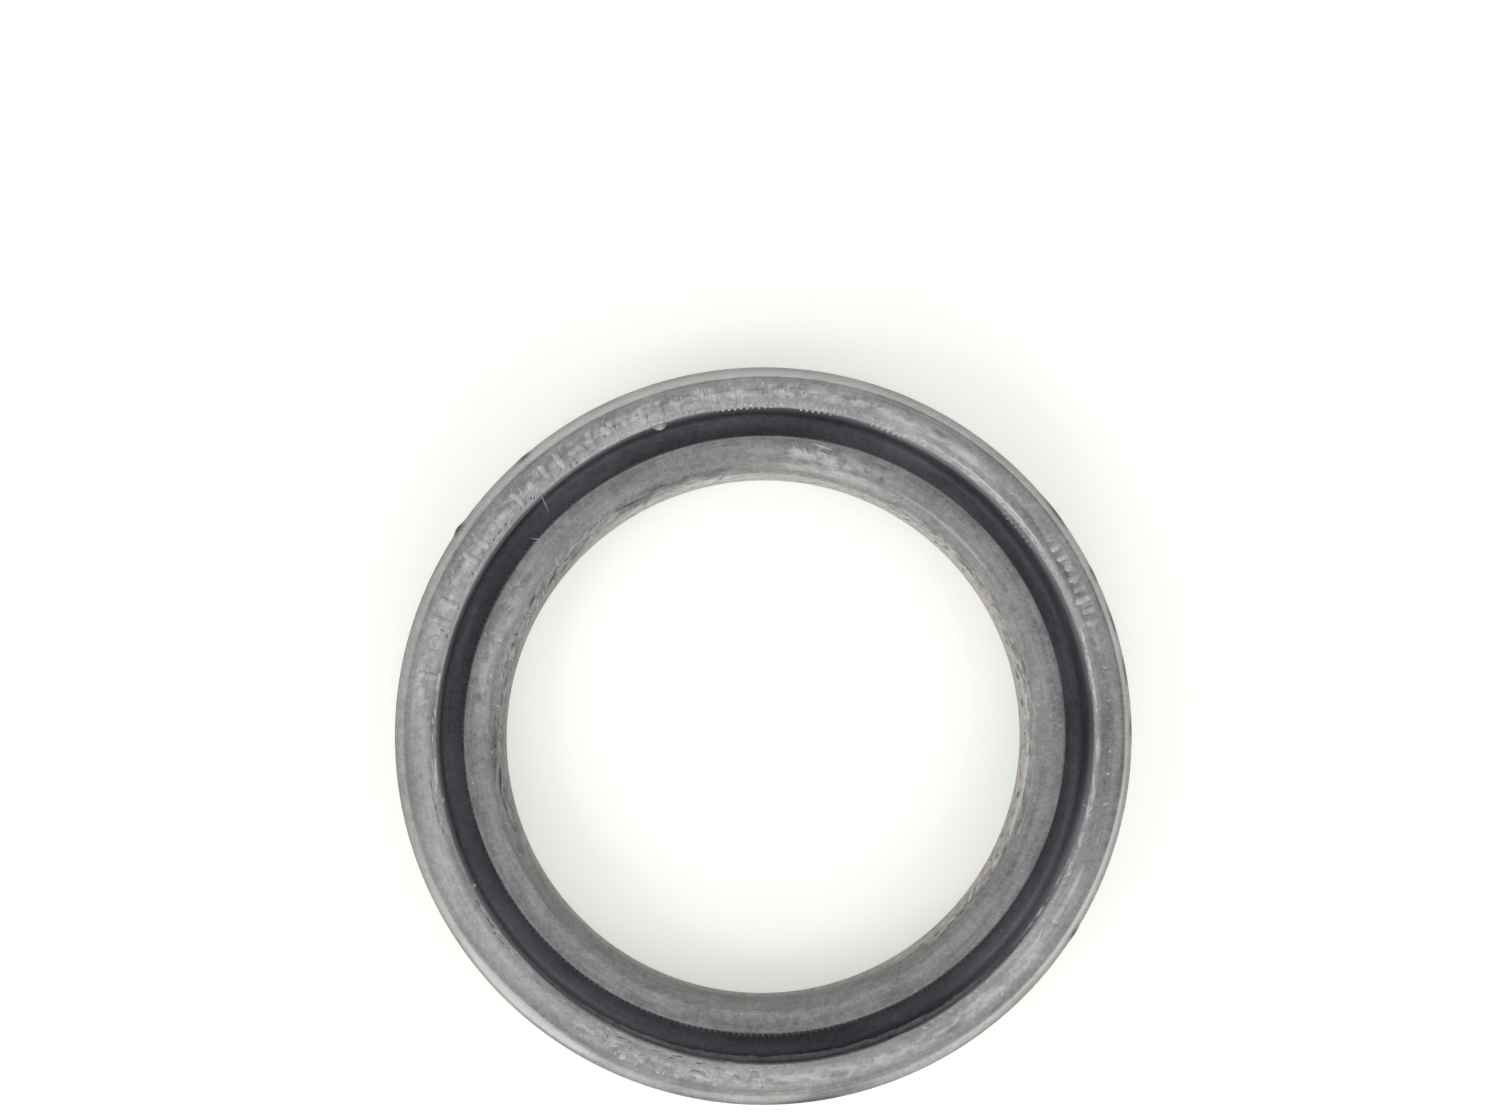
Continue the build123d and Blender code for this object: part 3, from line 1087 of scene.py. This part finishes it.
RUBBER = (0.034, 0.034, 0.039, 1)
BLOOM_COOL = (0.200, 0.210, 0.212, 1)
BLOOM_WARM = (0.214, 0.209, 0.200, 1)
TALC_AND_LIGHT = (0.64, 0.65, 0.63, 1)
TRIMMED = (0.645, 0.635, 0.60, 1)
BLUSHED = (0.70, 0.60, 0.575, 1)     # where the trimmed edge is reddish
TRIMMED_DARK = (0.41, 0.38, 0.345, 1)
TRIM_COVER = 0.8             # how far the trimmed edge's colour hides the rubber's
GROOVE_SHADE_TINT = (0.92, 0.93, 1.06, 1)    # painted shade: a bluish, darker tint over the groove's colour
# Steel, as its dark and its light colour and its least roughness.
SPRING_WIRE = ((0.40, 0.40, 0.40, 1), (0.62, 0.61, 0.59, 1), 0.42)
CASE_SHEET = ((0.28, 0.27, 0.26, 1), (0.45, 0.44, 0.43, 1), 0.35)


def rubber_material():
    """Black rubber under an uneven film of talc and bloom, with a painted highlight and painted shade
    in its colour.
    """
    g = Graph(bpy.data.materials.new("moulded_rubber"))
    ring = RingPlace(g)
    clouds = g.noise(ring.stretched(5.0, 1.5), detail=4.0, roughness=0.6)
    mottle = g.noise(ring.place, 1.3, 4.0, 0.65)
    smears = g.noise(ring.stretched(7.0, 0.25), detail=3.0, roughness=0.5)
    grain = g.noise(ring.place, 3.6, 4.0, 0.65)
    blots = g.noise(ring.stretched(1.7, 0.7), detail=3.0, roughness=0.6)
    ticks = g.noise(ring.stretched(0.30, 1.3, 0.4), detail=2.0, roughness=0.5)
    hue = g.noise(ring.place, 0.35, 3.0, 0.6)

    amount = g.total(
        g.attribute("talc"),
        g.about_zero(clouds, 0.34),
        g.about_zero(mottle, 0.32),
        g.about_zero(smears, 0.20),
        g.about_zero(grain, 0.36),
        g.math("MULTIPLY", g.attribute("mottled"), g.window(blots, 0.36, 0.66, -0.32, 0.42)),
        g.math("MULTIPLY", g.attribute("ticked"), g.window(ticks, 0.48, 0.64, -0.06, 0.36)),
    )
    bloom = g.mix(g.window(hue, 0.35, 0.65), BLOOM_COOL, BLOOM_WARM)
    filmed = g.mix(g.window(amount, 0.0, 0.5), RUBBER, bloom)
    # the talc's pale colour, which also paints the highlight on the bead and the light on the groove's
    # wall
    powdered_and_lit = g.mix(g.window(amount, 0.30, 1.05), filmed, TALC_AND_LIGHT)
    speckle = g.noise(ring.stretched(1.0, 0.22), detail=4.0, roughness=0.7)
    cut = g.mix(g.attribute("blush"), TRIMMED, BLUSHED)
    trimmed = g.mix(g.window(speckle, 0.38, 0.62), TRIMMED_DARK, cut)
    coated = g.mix(g.math("MULTIPLY", g.attribute("trim"), TRIM_COVER), powdered_and_lit, trimmed)
    # painted shade: the groove's colour tinted darker and bluish
    colour = g.mix(g.attribute("groove"), coated, GROOVE_SHADE_TINT, "MULTIPLY")

    relief = g.total(g.about_zero(grain, 0.5), g.about_zero(mottle, 1.0), g.about_zero(blots, 0.3))
    bumped = g.node("ShaderNodeBump", Strength=0.35, Distance=0.00012, Height=relief)
    shader = g.node(
        "ShaderNodeBsdfPrincipled",
        Base_Color=colour,
        Roughness=g.window(amount, 0.0, 0.8, 0.46, 0.80),
        Normal=bumped.outputs[0],
    )
    return g.surface(shader.outputs[0])


def steel_material(name, dark, light, roughness):
    """Steel with a slightly uneven tone and sheen."""
    g = Graph(bpy.data.materials.new(name))
    ring = RingPlace(g)
    tone = g.noise(ring.stretched(3.0, 0.7), detail=4.0, roughness=0.6)
    fine = g.noise(ring.place, 6.0, 3.0, 0.6)
    bumped = g.node("ShaderNodeBump", Strength=0.2, Distance=0.00003, Height=fine)
    shader = g.node(
        "ShaderNodeBsdfPrincipled",
        Base_Color=g.mix(g.window(tone, 0.3, 0.7), dark, light),
        Roughness=g.window(fine, 0.3, 0.7, roughness, roughness + 0.2),
        Metallic=1.0,
        Normal=bumped.outputs[0],
    )
    return g.surface(shader.outputs[0])


def dress(thing, material):
    """Gives a thing one material."""
    thing.data.materials.clear()
    thing.data.materials.append(material)


# -------------------------------- floor and light
SKY_STRENGTH = 0.64
# Soft round lamps beyond the camera's lower edge: azimuth, elevation, distance,
# size, and what each adds to a white surface that faces it.
LAMPS = {
    "left": (150, 40, 700, 420, 0.24),
    "middle": (88, 26, 700, 420, 0.24),
    "right": (26, 42, 700, 420, 0.13),
}
FLOOR_HALF = 4000
FLOOR_WHITE = (0.882, 0.900, 0.842, 1)
FLOOR_WARM = (0.872, 0.890, 0.828, 1)
FLOOR_GLOW = 0.46            # light that the table sends only to the camera
GLOW_TINT = (0.980, 1.0, 0.94, 1)


def seen_directly(g):
    """1 for a ray from the camera, or one that a mirror or glass sends on."""
    path = g.node("ShaderNodeLightPath")
    seen = g.math("MAXIMUM", path.outputs["Is Camera Ray"], path.outputs["Is Glossy Ray"])
    return g.math("MAXIMUM", seen, path.outputs["Is Transmission Ray"])


def make_floor():
    """The white table under the part."""
    half = FLOOR_HALF * MM
    corners = [(-half, -half, 0), (half, -half, 0), (half, half, 0), (-half, half, 0)]
    floor = make_mesh("floor", corners, [(0, 1, 2, 3)])
    g = Graph(bpy.data.materials.new("white_table"))
    shade = g.noise(g.node("ShaderNodeTexCoord").outputs["Object"], 6.0, 2.0)
    diffuse = g.node("ShaderNodeBsdfDiffuse", Color=g.mix(shade, FLOOR_WHITE, FLOOR_WARM))
    glow = g.node(
        "ShaderNodeEmission", Color=GLOW_TINT, Strength=g.math("MULTIPLY", seen_directly(g), FLOOR_GLOW)
    )
    both = g.node("ShaderNodeAddShader")
    g.put(both.inputs[0], diffuse.outputs[0])
    g.put(both.inputs[1], glow.outputs[0])
    dress(floor, g.surface(both.outputs[0]))


def make_world():
    """A white sky that lights the part less brightly than it looks."""
    world = bpy.data.worlds.new("soft_tent")
    bpy.context.scene.world = world
    g = Graph(world)
    seen = g.node("ShaderNodeLightPath").outputs["Is Camera Ray"]
    strength = g.math("MULTIPLY_ADD", seen, 1 - SKY_STRENGTH, SKY_STRENGTH)
    g.surface(g.node("ShaderNodeBackground", Strength=strength).outputs[0], "World")


def make_lamp(name, azimuth, elevation, distance, size, power):
    """A round lamp that faces the origin."""
    lamp = bpy.data.lights.new(name, "AREA")
    lamp.shape = "DISK"
    lamp.size = size * MM
    lamp.energy = power * (math.pi * distance * MM) ** 2
    thing = bpy.data.objects.new(name, lamp)
    e = math.radians(elevation)
    thing.location = polar(distance * math.cos(e), azimuth, distance * math.sin(e))
    thing.rotation_mode = "QUATERNION"
    thing.rotation_quaternion = thing.location.to_track_quat("Z", "Y")
    bpy.context.scene.collection.objects.link(thing)


CAMERA_AT = Vector((-10.0, 6.7, 390.8))
CAMERA_AIM = Vector((-1.34, 17.00, 8.8))
CAMERA_LENS = 96.1
SENSOR_WIDTH = 36.0


def make_camera():
    data = bpy.data.cameras.new("camera")
    data.lens, data.sensor_width = CAMERA_LENS, SENSOR_WIDTH
    data.clip_start, data.clip_end = 0.01, 20
    camera = bpy.data.objects.new("camera", data)
    back = (CAMERA_AT - CAMERA_AIM).normalized()
    right = Vector((0, 1, 0)).cross(back).normalized()
    turn = Matrix((right, back.cross(right), back)).transposed().to_4x4()
    camera.matrix_world = Matrix.Translation(CAMERA_AT * MM) @ turn
    bpy.context.scene.collection.objects.link(camera)
    bpy.context.scene.camera = camera


# -------------------------------------- the scene
make_camera()
make_world()
for lamp_name, values in LAMPS.items():
    make_lamp(lamp_name, *values)
make_floor()

body = make_body()
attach(body, "root")
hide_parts("seal_body")
dress(body, rubber_material())

spring = make_spring()
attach(spring, "root")
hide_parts("garter_spring")
dress(spring, steel_material("spring_wire", *SPRING_WIRE))

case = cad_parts["steel_case"]
dress(case, steel_material("case_sheet", *CASE_SHEET))

bpy.context.scene.view_settings.view_transform = "Standard"
